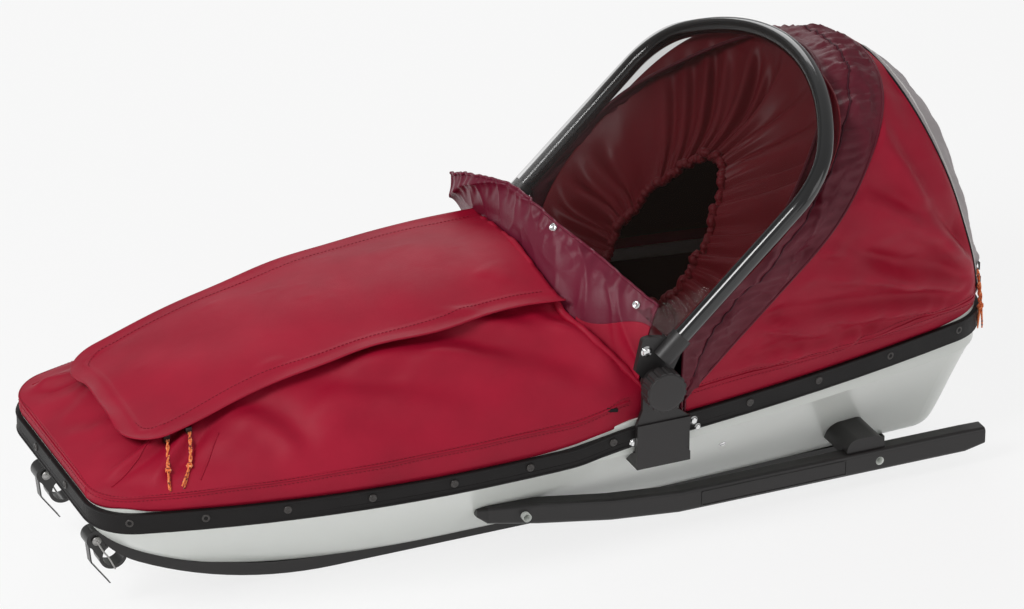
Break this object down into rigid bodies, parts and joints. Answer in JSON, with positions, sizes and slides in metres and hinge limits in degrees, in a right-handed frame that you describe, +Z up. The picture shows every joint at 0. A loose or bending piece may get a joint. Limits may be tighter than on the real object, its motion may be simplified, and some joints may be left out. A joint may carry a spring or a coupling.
{
  "type": "child carrier pulk",
  "caption": "Sled trailer for a child: moulded hull on runners with a soft front cover and hood, and a tilting windscreen on a tube arch.",
  "frame": {"origin": "on the ground under the middle of the gunwale rail's length", "axes": "+X to the bow, +Y to port, +Z up"},
  "size_m": [1.425, 0.6188, 0.6428],
  "materials": {
    "hull": "pale moulded shell, satin gloss",
    "rail": "black edge band with rivets",
    "runner": "black moulded, satin",
    "bracket": "black coated sheet",
    "knob": "black moulded, fluted",
    "tube": "gloss black coated tube",
    "foot": "dark grey moulded",
    "screen": "smoked clear sheet",
    "red_fabric": "woven, water-shedding",
    "dark_fabric": "thin crisp weave, gathered",
    "grey_fabric": "woven",
    "lining": "thin lining, gathered",
    "seat_fabric": "black padded",
    "slider": "black",
    "cord": "braided cord, flecked"
  },
  "bodies": {
    "hull": {"hull_shell": "hull", "gunwale_rail": "rail", "bottom_runner_left": "runner", "bottom_runner_right": "runner", "side_runner_left": "runner", "side_runner_right": "runner", "tow_bracket_left": "bracket", "tow_bracket_right": "bracket", "tow_clip_left": "bracket", "tow_clip_right": "bracket", "screen_bracket_left": "bracket", "screen_bracket_right": "bracket", "screen_knob_left": "knob", "screen_knob_right": "knob", "front_cover": "red_fabric", "cover_flap": "red_fabric", "lap_collar": "dark_fabric", "hood_band": "dark_fabric", "hood_shell": "red_fabric", "hood_rear_panel": "grey_fabric", "hood_lining": "lining", "seat_pad": "seat_fabric", "back_pad": "seat_fabric", "zip_sliders_front": "slider", "zip_sliders_rear": "slider", "zip_cord_front_left": "cord", "zip_cord_front_right": "cord", "zip_cord_rear_upper": "cord", "zip_cord_rear_lower": "cord"},
    "screen": {"arch_tube": "tube", "arch_foot_left": "foot", "arch_foot_right": "foot", "windscreen": "screen"}
  },
  "joints": [
    {"name": "screen_tilt", "type": "hinge", "parent": "hull", "child": "screen", "pos_m": [-0.106, 0, 0.279], "axis": [0, 1, 0], "range_deg": [0, 30], "deforming": ["lap_collar"]}
  ]
}
